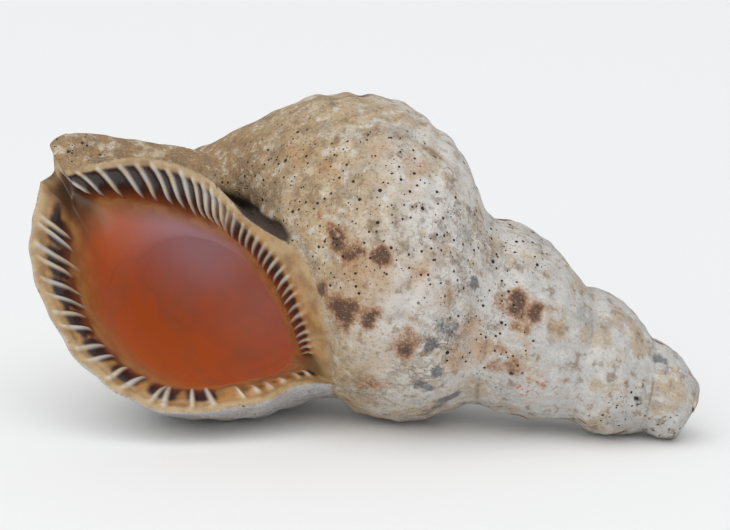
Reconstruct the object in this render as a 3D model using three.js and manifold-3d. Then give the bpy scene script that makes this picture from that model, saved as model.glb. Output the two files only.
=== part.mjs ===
// Worn triton-type conch shell, grown as one piece: nearly five whorls, a flared toothed
// mouth on the right of the axis and a short canal.
// Shell frame: the coiling axis is Z, the worn apex points up and h is the distance below
// the point where the spire would end if it were not worn. Lengths are millimetres.
import * as THREE from 'three';
import { mergeVertices } from 'three/addons/utils/BufferGeometryUtils.js';
import Module from 'manifold-3d';

const TAU = 2 * Math.PI;
const DEG = Math.PI / 180;

// Growth: every turn is larger than the one before it by the same factor.
const GROWTH = 1.417;
const TURNS = 4.75;
const LIP_H = 187;
const LIP_ANGLE = -20 * DEG;
const APEX_H = 50;
const APEX_ROUND = 3;
const APEX_DOME = 1;
const APEX_TAPER = 0.3;
const APEX_TAPER_LONG = 2.5;

// Whorl outline as [height, radius], both in parts of the height of the seam above it.
const SEAM = 0.25;
const NECK = 1.75;
const BODY = [[1, 0.25], [1.04, 0.272], [1.08, 0.31], [1.13, 0.357], [1.18, 0.389], [1.24, 0.412],
  [1.36, 0.431], [1.466, 0.402], [1.591, 0.325], [1.69, 0.205], [NECK, 0.115]];
const SPIRE = [[1, 0.25], [1.03, 0.262], [1.08, 0.291], [1.16, 0.342], [1.25, 0.367],
  [1.34, 0.374], [GROWTH, SEAM * GROWTH]];
const SPIRE_FROM = -470 * DEG;
const BODY_FROM = -390 * DEG;
const BODY_FREE = -223 * DEG;
const SEAM_RISE = 0.05;
const SEAM_RISE_AT = -35 * DEG;
const SEAM_RISE_WIDE = 40 * DEG;
const WAVE = 0.016;
const WAVE_AT = -400 * DEG;
const WAVE_LONG = 540 * DEG;
const WAVE_ENDS = [-330 * DEG, -370 * DEG];

// Low ridges across the whorl: the thick one behind the lip and an older one on the back.
const VARICES = [
  { at: -14 * DEG, rise: 0.055, before: 18 * DEG, after: 10 * DEG },
  { at: -145 * DEG, rise: 0.02, before: 10 * DEG, after: 10 * DEG },
];

// Canal at the front end.
const CANAL_H = 326.5;
const CANAL_R = 10;
const CANAL_SLANT = 0.44;
const CANAL_END_ROUND = 2.5;
const CANAL_END_FROM = 0.68;
const CANAL_CORNER = 6;
const CANAL_CORNER_WIDE = 45 * DEG;
const BEND_FROM = 255;
const BEND_LONG = 75;
const BEND = [10, -8];

// Mouth edge as [x, y, h], from the back corner of the mouth to the canal.
const OUTER_LIP = [[53.5, -25, 199], [63, -32, 207.5], [77, -42, 228.5], [83.5, -46, 252.5],
  [79, -45, 277.5], [64, -42, 301.5], [43, -35, 318], [21, -24, 325]];
const INNER_LIP = [[36.5, -31, 193.5], [24.5, -42, 200.5], [6.5, -45, 217], [2.5, -40, 237],
  [0.5, -38, 246], [-4.5, -35, 257.5], [-7.5, -32, 269], [-6.5, -30, 281.5], [-2, -27, 296.5],
  [13, -22, 318.5]];
const LIP_FLARE = 38 * DEG;
const INNER_FLARE = 26 * DEG;
const INNER_SWEEP = 72 * DEG;
const INNER_SWEEP_FAST = 0.13;

// Way round the mouth: 0 back corner, then the outer lip, the canal and the inner lip back to 1.
const CANAL_FROM = 0.45;
const CANAL_TO = 0.55;
// Inner edge of the toothed band as [way round, x, y, h].
const THROAT = [[0, 47, -9, 201.5], [0.09, 64.5, -22, 224.5], [0.18, 74.5, -28, 245.5],
  [0.27, 70.5, -30, 273], [0.36, 54.5, -27, 295], [0.45, 28, -19, 309], [0.55, 19.5, -14, 308],
  [0.65, 10, -14, 279.5], [0.75, 10.5, -20, 248.5], [0.85, 23, -22, 223.5], [0.95, 42, -13, 205]];
const MOUTH_MIDDLE = new THREE.Vector3(38, -30, -255);
const BAND_BULGE = 3;
// Tube behind the band: an oval in the same proportions all the way in.
const TUBE = { radius: 0.245, halfRadius: 0.155, height: 1.36, halfHeight: 0.22, lean: 0.12 };
const TUBE_TURNS = [-40, -80, -120, -160, -200, -235, -265];
const RING_DEPTHS = [0, 9, 19, 62, 106, 146, 184, 216, 240, 262];
const MOUTH_ROWS = [0, 4, 8.5, 13, 19, 30, 46, 62, 84, 106, 146, 184, 216, 240, 262];

// Teeth: rows of small ridges that run from the mouth edge inward.
const TOOTH_ROWS = [
  { count: 8, first: 0.414, step: -0.031, bend: -0.0013, pair: 0.0075, from: 3, to: 15, wide: 1.2 },
  { count: 5, first: 0.086, step: -0.018, bend: 0, pair: 0, from: 5, to: 14, wide: 1.2 },
  { count: 9, first: 0.551, step: 0.0205, bend: 0, pair: 0, from: 2, to: 17, wide: 1.2 },
  { count: 18, first: 0.745, step: 0.0127, bend: 0, pair: 0, from: 5, to: 17, wide: 0.9 },
];
const TOOTH_TALL = 1.4;

// Mesh steps.
const ROWS_PER_TURN = 32;
const WHORL_COLUMNS = 7;
const BODY_COLUMNS = 14;
const BODY_CROWDING = 1.6;
const CANAL_COLUMNS = 6;

// Pose at rest, and how much is worn flat where the shell touches the ground.
const SPIRE_DROP = 20.8 * DEG;
const MOUTH_UP = 12 * DEG;
const WORN_FLAT = 1.4;

const clamp = (x, low, high) => Math.min(Math.max(x, low), high);

function ease(from, to, x) {
  const t = clamp((x - from) / (to - from), 0, 1);
  return t * t * (3 - 2 * t);
}

const bell = (x, width) => Math.exp(-((x / width) ** 2));

// Slope of a curve through unevenly spaced points.
function slope(xs, ys, i) {
  if (i === 0) return (ys[1] - ys[0]) / (xs[1] - xs[0]);
  const last = xs.length - 1;
  if (i === last) return (ys[last] - ys[last - 1]) / (xs[last] - xs[last - 1]);
  const before = xs[i] - xs[i - 1];
  const after = xs[i + 1] - xs[i];
  const rise = before ** 2 * (ys[i + 1] - ys[i]) + after ** 2 * (ys[i] - ys[i - 1]);
  return rise / (before * after * (before + after));
}

// Smooth curve through points, read at x.
function curve(xs, ys, x) {
  let i = 0;
  while (i < xs.length - 2 && x > xs[i + 1]) i += 1;
  const span = xs[i + 1] - xs[i];
  const t = clamp((x - xs[i]) / span, 0, 1);
  const start = (1 + 2 * t) * (1 - t) ** 2 * ys[i] + t * (1 - t) ** 2 * span * slope(xs, ys, i);
  const end = t * t * (3 - 2 * t) * ys[i + 1] + t * t * (t - 1) * span * slope(xs, ys, i + 1);
  return start + end;
}

const column = (rows, k) => rows.map((row) => row[k]);
const outline = (rows, x) => curve(column(rows, 0), column(rows, 1), x);

const seamHeight = (turn) => LIP_H * GROWTH ** (turn / TAU);
const seamRadius = (turn) => SEAM + SEAM_RISE * bell(turn - SEAM_RISE_AT, SEAM_RISE_WIDE);

function varix(turn) {
  const ridge = (v) => v.rise * bell(turn - v.at, turn < v.at ? v.before : v.after);
  return VARICES.reduce((sum, v) => sum + ridge(v), 0);
}

// Radius of a whorl; its lower edge meets the seam of the next turn until the body runs free.
function whorlRadius(turn, height) {
  const low = Math.min(height, GROWTH);
  const down = (low - 1) / (GROWTH - 1);
  const asBody = ease(SPIRE_FROM, BODY_FROM, turn);
  const mix = height > GROWTH ? 1 : asBody;
  const body = outline(BODY, height);
  const plain = outline(SPIRE, low) * (1 - mix) + body * mix;
  const edge = SEAM * GROWTH * (1 - asBody) + outline(BODY, GROWTH) * asBody;
  const tuck = GROWTH * seamRadius(turn + TAU) - edge;
  const held = (1 - ease(-TAU, BODY_FREE, turn)) * ease(NECK, GROWTH, height);
  const wave = WAVE * Math.cos(((turn - WAVE_AT) * TAU) / WAVE_LONG) * 4 * down * (1 - down);
  const upper = (seamRadius(turn) - SEAM) * (1 - down) ** 2;
  return plain + wave * ease(...WAVE_ENDS, turn) + upper + tuck * ease(0, 1, down) * held;
}

// Point at a turn angle, height and radius, with the apex worn blunt and the canal bent.
function place(turn, h, r) {
  const angle = LIP_ANGLE - turn;
  const worn = APEX_H + APEX_ROUND * Math.log1p(Math.exp((h - APEX_H) / APEX_ROUND));
  const blunt = r * (1 - APEX_TAPER * Math.exp((APEX_H - worn) / APEX_TAPER_LONG));
  const bend = clamp((worn - BEND_FROM) / BEND_LONG, 0, 1.2) ** 2;
  const x = blunt * Math.cos(angle) + BEND[0] * bend;
  const y = blunt * Math.sin(angle) + BEND[1] * bend;
  return new THREE.Vector3(x, y, -worn);
}

// Outside of the shell: way 0 to 1 is the whorl, 1 to 2 the base, 2 to 3 the canal.
function outside(turn, way) {
  const base = GROWTH + (NECK - GROWTH) * clamp(way - 1, 0, 1);
  const height = way < 1 ? 1 + (GROWTH - 1) * way : base;
  const size = seamHeight(turn);
  const swell = 1 + varix(turn) * ease(1, 1.08, height);
  const canal = clamp(way - 2, 0, 1);
  let r = size * whorlRadius(turn, height) * swell;
  r += (CANAL_R - r) * ease(0, 1, canal);
  const angle = LIP_ANGLE - turn;
  const corner = CANAL_CORNER * bell(angle - TAU / 2, CANAL_CORNER_WIDE);
  const end = CANAL_H - CANAL_SLANT * r * Math.cos(angle) - corner;
  const round = clamp((canal - CANAL_END_FROM) / (1 - CANAL_END_FROM), 0, 1);
  r -= CANAL_END_ROUND * (1 - Math.sqrt(1 - round ** 2));
  const h = size * height;
  return place(turn, h + (end - h) * canal, r);
}

const mouthCorner = outside(0, 0);
const lipCurve = (rows) => {
  const points = rows.map(([x, y, h]) => new THREE.Vector3(x, y, -h));
  return new THREE.CatmullRomCurve3([mouthCorner, ...points], false, 'catmullrom', 0.5);
};
const outerLip = lipCurve(OUTER_LIP);
const innerLip = lipCurve(INNER_LIP);

function lengthsAlong(points) {
  const lengths = [0];
  for (let i = 1; i < points.length; i += 1) {
    lengths.push(lengths[i - 1] + points[i].distanceTo(points[i - 1]));
  }
  return lengths;
}

// Steps that carry a row of points onto a lip curve, keeping their spacing.
function stepsOnto(points, lip) {
  const lengths = lengthsAlong(points);
  const total = lengths[lengths.length - 1];
  return points.map((p, i) => lip.getPointAt(lengths[i] / total).sub(p));
}

// Inner edge of the toothed band, closed on itself.
const throatWay = [-1, 0, 1].flatMap((lap) => THROAT.map((row) => row[0] + lap));
const throatAxis = (k) => [-1, 0, 1].flatMap(() => column(THROAT, k));
const throatX = throatAxis(1);
const throatY = throatAxis(2);
const throatH = throatAxis(3);

function throat(way) {
  const h = curve(throatWay, throatH, way);
  return new THREE.Vector3(curve(throatWay, throatX, way), curve(throatWay, throatY, way), -h);
}

function tube(turn, way) {
  const height = TUBE.height - TUBE.halfHeight * Math.cos(TAU * way);
  const lean = TUBE.lean * (height - TUBE.height);
  const radius = TUBE.radius + TUBE.halfRadius * Math.sin(TAU * way) - lean;
  return place(turn, seamHeight(turn) * height, seamHeight(turn) * radius);
}

// Surface that runs from a point of the mouth edge into the tube.
function mouthLine(edge, way) {
  const inner = throat(way);
  const middle = edge.clone().lerp(inner, 0.5);
  const out = MOUTH_MIDDLE.clone().sub(middle).normalize();
  out.y -= 1;
  middle.addScaledVector(out.normalize(), BAND_BULGE);
  const line = [edge, middle, inner, ...TUBE_TURNS.map((turn) => tube(turn * DEG, way))];
  const xs = line.map((p) => p.x);
  const ys = line.map((p) => p.y);
  const zs = line.map((p) => p.z);
  const at = (values, depth) => curve(RING_DEPTHS, values, depth);
  return (depth) => new THREE.Vector3(at(xs, depth), at(ys, depth), at(zs, depth));
}

// Builds the whole skin, sharing points along every seam so that it is closed.
function shellSkin() {
  const points = [];
  const faces = [];
  const add = (p) => points.push(p) - 1;
  const quad = (a, b, c, d) => faces.push([a, d, b], [b, d, c]);
  const lastRow = TURNS * ROWS_PER_TURN;
  const bodyRow = lastRow - ROWS_PER_TURN;
  const ways = [];
  for (let k = 1; k <= BODY_COLUMNS; k += 1) ways.push(1 + (k / BODY_COLUMNS) ** BODY_CROWDING);
  for (let k = 1; k <= CANAL_COLUMNS; k += 1) ways.push(2 + k / CANAL_COLUMNS);
  const lastColumn = WHORL_COLUMNS + ways.length;
  const sweep = (way) => INNER_SWEEP * (1 - Math.exp((1 - way) / INNER_SWEEP_FAST));
  const turnOf = (row) => ((row - lastRow) / ROWS_PER_TURN) * TAU;

  const grid = [];
  for (let i = 0; i <= lastRow; i += 1) {
    const turn = turnOf(i);
    grid.push([]);
    for (let k = 0; k <= WHORL_COLUMNS; k += 1) {
      grid[i].push({ turn, after: Infinity, p: outside(turn, k / WHORL_COLUMNS) });
    }
    if (i < bodyRow) continue;
    for (const way of ways) {
      const start = -TAU + sweep(way);
      const after = -start * ((i - bodyRow) / ROWS_PER_TURN);
      grid[i].push({ turn: start + after, after, p: outside(start + after, way) });
    }
  }

  const flare = stepsOnto(grid[lastRow].map((cell) => cell.p), outerLip);
  for (const row of grid) {
    row.forEach((cell, k) => cell.p.addScaledVector(flare[k], Math.max(0, 1 + cell.turn / LIP_FLARE) ** 2));
  }
  const innerRow = grid[bodyRow].slice(WHORL_COLUMNS);
  const raise = stepsOnto(innerRow.map((cell) => cell.p), innerLip);
  for (const row of grid.slice(bodyRow)) {
    row.slice(WHORL_COLUMNS).forEach((cell, k) => {
      cell.p.addScaledVector(raise[k], Math.max(0, 1 - cell.after / INNER_FLARE) ** 2);
    });
  }

  const id = grid.map((row) => row.map(() => -1));
  grid.forEach((row, i) => row.forEach((cell, k) => {
    const shared = k === 0 && i >= ROWS_PER_TURN;
    id[i][k] = shared ? id[i - ROWS_PER_TURN][WHORL_COLUMNS] : add(cell.p);
  }));
  for (let i = 0; i < lastRow; i += 1) {
    const columns = i < bodyRow ? WHORL_COLUMNS : lastColumn;
    for (let k = 0; k < columns; k += 1) quad(id[i][k], id[i][k + 1], id[i + 1][k + 1], id[i + 1][k]);
  }

  const apexEdge = [];
  for (let i = 0; i <= ROWS_PER_TURN; i += 1) apexEdge.push(id[i][0]);
  for (let k = WHORL_COLUMNS - 1; k > 0; k -= 1) apexEdge.push(id[0][k]);
  const apex = add(new THREE.Vector3(0, 0, APEX_DOME - APEX_H));
  apexEdge.forEach((a, n) => faces.push([apex, apexEdge[(n + 1) % apexEdge.length], a]));

  const edge = [];
  for (let k = 0; k <= lastColumn; k += 1) edge.push(id[lastRow][k]);
  const canalFrom = edge.length - 1;
  for (let i = lastRow - 1; i >= bodyRow; i -= 1) edge.push(id[i][lastColumn]);
  const canalTo = edge.length - 1;
  for (let k = lastColumn - 1; k > WHORL_COLUMNS; k -= 1) edge.push(id[bodyRow][k]);
  const lengths = lengthsAlong([...edge, edge[0]].map((n) => points[n]));
  const stops = [0, lengths[canalFrom], lengths[canalTo], lengths[edge.length]];
  const parts = [0, CANAL_FROM, CANAL_TO, 1];
  const wayRound = (n) => {
    const j = n <= canalFrom ? 0 : n <= canalTo ? 1 : 2;
    const share = (lengths[n] - stops[j]) / (stops[j + 1] - stops[j]);
    return parts[j] + (parts[j + 1] - parts[j]) * share;
  };

  const lines = edge.map((n, i) => mouthLine(points[n], wayRound(i)));
  let outerRing = edge;
  for (const depth of MOUTH_ROWS.slice(1)) {
    const ring = lines.map((line) => add(line(depth)));
    ring.forEach((n, i) => {
      const next = (i + 1) % ring.length;
      quad(outerRing[i], outerRing[next], ring[next], n);
    });
    outerRing = ring;
  }
  const middle = outerRing.reduce((sum, n) => sum.add(points[n]), new THREE.Vector3());
  const end = add(middle.divideScalar(outerRing.length));
  outerRing.forEach((n, i) => faces.push([outerRing[(i + 1) % outerRing.length], n, end]));

  const geometry = new THREE.BufferGeometry();
  geometry.setAttribute('position', new THREE.Float32BufferAttribute(points.flatMap((p) => p.toArray()), 3));
  geometry.setIndex(faces.flat());
  return geometry;
}

// One tooth: a slim rounded bar laid along the band.
function tooth(way, from, to, wide) {
  const onOuter = way < CANAL_FROM;
  const share = onOuter ? way / CANAL_FROM : (1 - way) / (1 - CANAL_TO);
  const edge = (onOuter ? outerLip : innerLip).getPointAt(clamp(share, 0, 1));
  const line = mouthLine(edge, way);
  const start = line(from);
  const stop = line(to);
  const along = stop.clone().sub(start);
  const inward = MOUTH_MIDDLE.clone().sub(start);
  const across = new THREE.Vector3().crossVectors(along, inward).normalize();
  const up = new THREE.Vector3().crossVectors(across, along).normalize();
  const geometry = new THREE.SphereGeometry(1, 6, 4);
  geometry.scale(wide, along.length() / 2, TOOTH_TALL);
  geometry.applyMatrix4(new THREE.Matrix4().makeBasis(across, along.clone().normalize(), up));
  const centre = line((from + to) / 2);
  geometry.translate(centre.x, centre.y, centre.z);
  return geometry;
}

const wasm = await Module();
wasm.setup();

function solid(geometry) {
  const bare = geometry.clone();
  bare.deleteAttribute('normal');
  bare.deleteAttribute('uv');
  const merged = mergeVertices(bare);
  const vertProperties = new Float32Array(merged.attributes.position.array);
  const triVerts = new Uint32Array(merged.index.array);
  return new wasm.Manifold(new wasm.Mesh({ numProp: 3, vertProperties, triVerts }));
}

let shell = solid(shellSkin());
for (const row of TOOTH_ROWS) {
  for (let i = 0; i < row.count; i += 1) {
    const way = row.first + row.step * i + row.bend * i * i;
    const places = row.pair > 0 ? [way - row.pair, way + row.pair] : [way];
    for (const at of places) shell = shell.add(solid(tooth(at, row.from, row.to, row.wide)));
  }
}

function toGeometry(body) {
  const mesh = body.getMesh();
  const geometry = new THREE.BufferGeometry();
  geometry.setAttribute('position', new THREE.BufferAttribute(new Float32Array(mesh.vertProperties), 3));
  geometry.setIndex(new THREE.BufferAttribute(new Uint32Array(mesh.triVerts), 1));
  return geometry;
}

// Lay the shell down, wear its underside flat and set it on the ground.
const laid = toGeometry(shell);
laid.rotateY(TAU / 4 + SPIRE_DROP);
laid.rotateX(-MOUTH_UP);
laid.computeBoundingBox();
const ground = laid.boundingBox.min.z + WORN_FLAT;
const BLOCK = 600;
const worn = new THREE.BoxGeometry(BLOCK, BLOCK, BLOCK);
worn.translate(0, 0, ground - BLOCK / 2);
const resting = toGeometry(solid(laid).subtract(solid(worn)));
resting.computeBoundingBox();
const { min, max } = resting.boundingBox;
resting.translate(-(min.x + max.x) / 2, -(min.y + max.y) / 2, -min.z);
resting.computeVertexNormals();

const chalk = new THREE.MeshStandardMaterial({ color: 0xc9bdac, roughness: 0.75, metalness: 0 });
const mesh = new THREE.Mesh(resting, chalk);
mesh.name = 'shell';

const group = new THREE.Group();
group.add(mesh);
export default group;
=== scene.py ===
# %% [markdown]
# # A worn conch shell
# A triton-type sea shell lies on its side with the mouth towards the viewer. The solid from the CAD step
# is the frame: this file grows the shell again by the same formulas, with a fine skin and numbers fitted
# closer to the photo, gives it teeth, cords and wear, paints it, and photographs it on a pale floor.

import bpy
import numpy as np
from mathutils import Matrix


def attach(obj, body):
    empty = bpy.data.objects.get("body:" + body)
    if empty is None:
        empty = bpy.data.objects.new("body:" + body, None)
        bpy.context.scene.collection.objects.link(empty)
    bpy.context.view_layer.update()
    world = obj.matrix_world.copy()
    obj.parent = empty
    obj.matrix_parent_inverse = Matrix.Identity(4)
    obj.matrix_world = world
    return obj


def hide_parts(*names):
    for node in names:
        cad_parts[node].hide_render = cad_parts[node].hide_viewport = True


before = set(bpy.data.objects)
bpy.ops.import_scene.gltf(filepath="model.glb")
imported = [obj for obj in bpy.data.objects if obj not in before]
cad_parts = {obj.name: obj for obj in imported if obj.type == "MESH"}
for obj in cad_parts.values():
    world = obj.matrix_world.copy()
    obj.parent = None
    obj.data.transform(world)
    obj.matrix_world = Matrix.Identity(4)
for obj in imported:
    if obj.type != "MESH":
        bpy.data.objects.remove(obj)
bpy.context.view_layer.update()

# %% [markdown]
# ## Growth
# A shell grows by adding to its mouth, so every turn is a larger copy of the turn before. All sizes below
# are millimetres in the shell's own frame: the coiling axis is Z, the apex points up, and h is the distance
# below the point where the spire would end if it were not worn away. `turn` is the growth angle: 0 at the
# lip and less than 0 towards the apex.

# %% Numbers that the shell grows from
TAU = 2 * np.pi
DEG = np.pi / 180
MM = 0.001
GROWTH = 1.417
TURNS = 4.75
LIP_H = 187.0
LIP_ANGLE = -20 * DEG
APEX_H = 50.0
APEX_ROUND = 3.0
APEX_TAPER = 0.3
APEX_TAPER_LONG = 2.5
SEAM = 0.25
NECK = 1.75
BODY = np.array([(1, 0.25), (1.04, 0.267), (1.08, 0.306), (1.13, 0.3525), (1.18, 0.389), (1.24, 0.411),
                 (1.36, 0.431), (1.466, 0.402), (1.591, 0.323), (1.69, 0.195), (NECK, 0.108)])
SPIRE = np.array([(1, 0.25), (1.03, 0.267), (1.08, 0.3), (1.16, 0.343), (1.25, 0.367),
                  (1.34, 0.374), (GROWTH, SEAM * GROWTH)])
# Unevenness of the spire: turn in degrees, and how far mid-whorl stands out, in seam heights.
SWELL = np.array([(-1720, -0.01), (-1460, -0.012), (-1280, -0.028), (-1100, 0.008), (-920, -0.001),
                  (-740, -0.036), (-560, -0.005), (-370, 0.0)])
# The two lips as (x, y, h), and the throat's edge as (way round the mouth, x, y, h).
OUTER_LIP = [(53.5, -25, 199), (63, -32, 207.5), (77, -42, 228.5), (83.5, -46, 252.5), (79, -45, 277.5),
             (64, -42, 301.5), (43, -35, 318), (21, -24, 325)]
INNER_LIP = [(36.5, -31, 193.5), (24.5, -42, 200.5), (6.5, -45, 217), (2.5, -40, 237), (0.5, -38, 246),
             (-4.5, -35, 257.5), (-7.5, -32, 269), (-6.5, -30, 281.5), (-2, -27, 296.5), (13, -22, 318.5)]
THROAT = np.array([(0, 47, -9, 201.5), (0.09, 64.5, -22, 224.5), (0.18, 74.5, -28, 245.5),
                   (0.27, 70.5, -30, 273), (0.36, 54.5, -27, 295), (0.45, 28, -19, 309),
                   (0.55, 19.5, -14, 308), (0.65, 10, -14, 279.5), (0.75, 10.5, -20, 248.5),
                   (0.85, 23, -22, 223.5), (0.95, 42, -13, 205)])
CANAL_RADIUS = 10.0
CANAL_END = 328.6
GROUND_WEAR = 1.4
MOUTH_MIDDLE = np.array([38.0, -30, -255])
ROWS = 160
WHORL_COLUMNS = 32
BODY_COLUMNS = 66
CANAL_COLUMNS = 20
MOUTH_COLUMNS = 720


# %% [markdown]
# ## Tools for smooth curves
# Everything is a formula on arrays: an easing step, a bell, a curve through points, and a smooth random field
# made of plane waves, which stands for the uneven growth and wear of a natural thing.

# %% Curves and fields
def ease(start, end, x):
    """Smooth step: 0 before start, 1 after end, 3t^2 - 2t^3 between."""
    t = np.clip((x - start) / (end - start), 0, 1)
    return t * t * (3 - 2 * t)


def bell(x, width):
    """Bell curve e^-(x/width)^2."""
    return np.exp(-(x / width) ** 2)


def curve(xs, ys, x):
    """Cubic curve through the points (xs, ys), read at x along the first axis of ys."""
    x = np.asarray(x, float)
    slopes = np.gradient(ys, xs, axis=0)
    i = np.clip(np.searchsorted(xs, x) - 1, 0, len(xs) - 2)
    span = xs[i + 1] - xs[i]
    t = np.clip((x - xs[i]) / span, 0, 1)
    extra = (1,) * (np.ndim(ys) - 1)
    t, span = t.reshape(t.shape + extra), span.reshape(span.shape + extra)
    start = (1 + 2 * t) * (1 - t) ** 2 * ys[i] + t * (1 - t) ** 2 * span * slopes[i]
    return start + t * t * (3 - 2 * t) * ys[i + 1] + t * t * (t - 1) * span * slopes[i + 1]


def lengths(points):
    """Distance along a row of points, from 0."""
    steps = np.linalg.norm(np.diff(points, axis=0), axis=1)
    return np.concatenate([[0], np.cumsum(steps)])


def spline(points, share):
    """Catmull-Rom curve through points, read at a share of its length."""
    points = np.asarray(points, float)
    ends = np.concatenate([[2 * points[0] - points[1]], points, [2 * points[-1] - points[-2]]])

    def at(u):
        u = np.clip(u, 0, 1) * (len(points) - 1)
        j = np.minimum(u.astype(int), len(points) - 2)
        f = (u - j)[:, None]
        a, b, c, d = ends[j], ends[j + 1], ends[j + 2], ends[j + 3]
        return 0.5 * (2 * b + (c - a) * f + (2 * a - 5 * b + 4 * c - d) * f**2
                      + (3 * b - a - 3 * c + d) * f**3)

    u = np.linspace(0, 1, 2000)
    far = lengths(at(u))
    return at(np.interp(share, far / far[-1], u))


def ripple(points, size, seed, waves=9):
    """Smooth random field of about -1 to 1: plane waves of one length in random directions, added up."""
    rng = np.random.default_rng(seed)
    ways = rng.normal(size=(waves, 3))
    ways /= np.linalg.norm(ways, axis=1, keepdims=True)
    phases = rng.uniform(0, TAU, waves)
    return np.sin(points @ ways.T * (TAU / size) + phases).sum(-1) / np.sqrt(waves)


def unit(vectors):
    """Vectors scaled to length 1."""
    return vectors / np.maximum(np.linalg.norm(vectors, axis=-1, keepdims=True), 1e-9)


def down(points):
    """Points given as (x, y, h) turned into (x, y, z)."""
    return np.asarray(points, float) * [1, 1, -1]


# %% [markdown]
# ## The outside
# The whorl's outline is drawn once, in parts of the height of the seam above it, and the growth law
# carries it round. Low spiral cords, the thick ridge behind the lip (a varix) and two older ones are added
# to the radius. It could be swept as a curve along a path, but a surface of two parameters keeps the seam
# between turns exact, so that the skin can share its points there.

# %% The outside as a surface of turn and way
def seam_height(turn):
    """Height h of the seam: grows by GROWTH in every turn."""
    return LIP_H * GROWTH ** (turn / TAU)


def seam_radius(turn):
    """Radius of the seam in parts of its height, with two bells: just before the lip and on the spire."""
    degrees = turn / DEG
    return SEAM + 0.05 * bell(degrees + 35, 40) + 0.011 * bell(degrees + 650, 170)


def varix(turn):
    """Swelling of the ridges across the whorl, in parts of the radius."""
    degrees = turn / DEG
    return (0.048 * bell(degrees + 14, np.where(degrees < -14, 18, 10))
            + 0.02 * bell(degrees + 145, 10) + 0.012 * bell(degrees + 425, 9))


def whorl_radius(turn, height):
    """Outline of the whorl: spire or body, tucked in below so that it meets the next seam."""
    low = np.minimum(height, GROWTH)
    share = (low - 1) / (GROWTH - 1)
    as_body = ease(-470, -390, turn / DEG)
    mix = np.where(height > GROWTH, 1, as_body)
    body = curve(BODY[:, 0], BODY[:, 1], height)
    plain = curve(SPIRE[:, 0], SPIRE[:, 1], low) * (1 - mix) + body * mix
    body_edge = curve(BODY[:, 0], BODY[:, 1], GROWTH)
    edge = SEAM * GROWTH * (1 - as_body) + body_edge * as_body
    tuck = GROWTH * seam_radius(turn + TAU) - edge
    held = (1 - ease(-360, -223, turn / DEG)) * ease(NECK, GROWTH, height)
    uneven = curve(SWELL[:, 0], SWELL[:, 1], turn / DEG) * 4 * share * (1 - share)
    upper = (seam_radius(turn) - SEAM) * (1 - share) ** 2
    return plain + uneven + upper + tuck * ease(0, 1, share) * held


def cords(turn, height):
    """Low rounded spiral cords, worn away near the seams."""
    free = ease(-360, -223, turn / DEG)
    shown = ease(1.02, 1.08, height) * ease(NECK, 1.6, height)
    shown = shown * (1 - (1 - free) * ease(GROWTH - 0.06, GROWTH, height))
    tall = 0.0013 + 0.0017 * ease(-420, -300, turn / DEG)
    return tall * np.cos(TAU * (height - 1) / 0.0695) * shown


def place(turn, h, r):
    """Point at a turn, height and radius; the apex is worn blunt and the canal bends to the right."""
    angle = LIP_ANGLE - turn
    worn = APEX_H + APEX_ROUND * np.logaddexp(0, (h - APEX_H) / APEX_ROUND)
    r = r * (1 - APEX_TAPER * np.exp((APEX_H - worn) / APEX_TAPER_LONG))
    bend = np.clip((worn - 255) / 75, 0, 1.2) ** 2
    lean = 4 * np.exp((APEX_H - worn) / 4)
    return np.stack([r * np.cos(angle) + 10 * bend + lean, r * np.sin(angle) - 8 * bend, -worn], -1)


def outside(turn, way):
    """Outside of the shell: way 0 to 1 is the whorl, 1 to 2 the base below it, 2 to 3 the canal."""
    turn, way = np.broadcast_arrays(np.asarray(turn, float), np.asarray(way, float))
    base = GROWTH + (NECK - GROWTH) * np.clip(way - 1, 0, 1)
    height = np.where(way < 1, 1 + (GROWTH - 1) * way, base)
    size = seam_height(turn)
    swell = 1 + varix(turn) * ease(1, 1.08, height)
    canal = np.clip(way - 2, 0, 1)
    r = size * (whorl_radius(turn, height) * swell + cords(turn, height))
    angle = LIP_ANGLE - turn
    r = r + (CANAL_RADIUS + 2 * bell(angle - np.pi, 70 * DEG) - r) * ease(0, 0.7, canal)
    end = CANAL_END - 0.44 * r * np.cos(angle) - 8.4 * bell(angle - np.pi, 52 * DEG)
    r = r - 2.5 * (1 - np.sqrt(1 - np.clip((canal - 0.68) / 0.32, 0, 1) ** 2))
    return place(turn, size * height + (end - size * height) * canal, r)


def sweep(way):
    """How far the inner lip has swept round the body at this way."""
    return 72 * DEG * (1 - np.exp((1 - way) / 0.13))


# %% [markdown]
# ## The skin
# The strip of whorls is welded to itself along the seam: the upper edge of a turn uses the very points of the
# lower edge one turn earlier. The last turn goes on down to the canal. Its two free sides are the outer lip
# and the inner lip, and each is eased onto its own curve, so that the mouth flares as in the photo.

# %% Grid of the outside
last_row = int(TURNS * ROWS)
body_row = last_row - ROWS
turns = (np.arange(last_row + 1) - last_row) * TAU / ROWS
whorl_ways = np.arange(WHORL_COLUMNS + 1) / WHORL_COLUMNS
body_ways = np.concatenate([1 + (np.arange(1, BODY_COLUMNS + 1) / BODY_COLUMNS) ** 1.3,
                            3 - (1 - np.arange(1, CANAL_COLUMNS + 1) / CANAL_COLUMNS) ** 1.5])
whorls = outside(turns[:, None], whorl_ways)
starts = -TAU + sweep(body_ways)
after = -starts * (np.arange(ROWS + 1) / ROWS)[:, None]
body_turns = starts + after
body = outside(body_turns, body_ways)

corner = whorls[-1, 0]
outer_lip = np.vstack([corner, down(OUTER_LIP)])
inner_lip = np.vstack([corner, down(INNER_LIP)])


def pair_number(way):
    """Which pair of teeth stands at a way round the mouth, counted from the canal: a quadratic's root."""
    return (np.sqrt(0.031**2 + 4 * 0.0013 * (0.414 - way)) - 0.031) / (2 * 0.0013)


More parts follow.
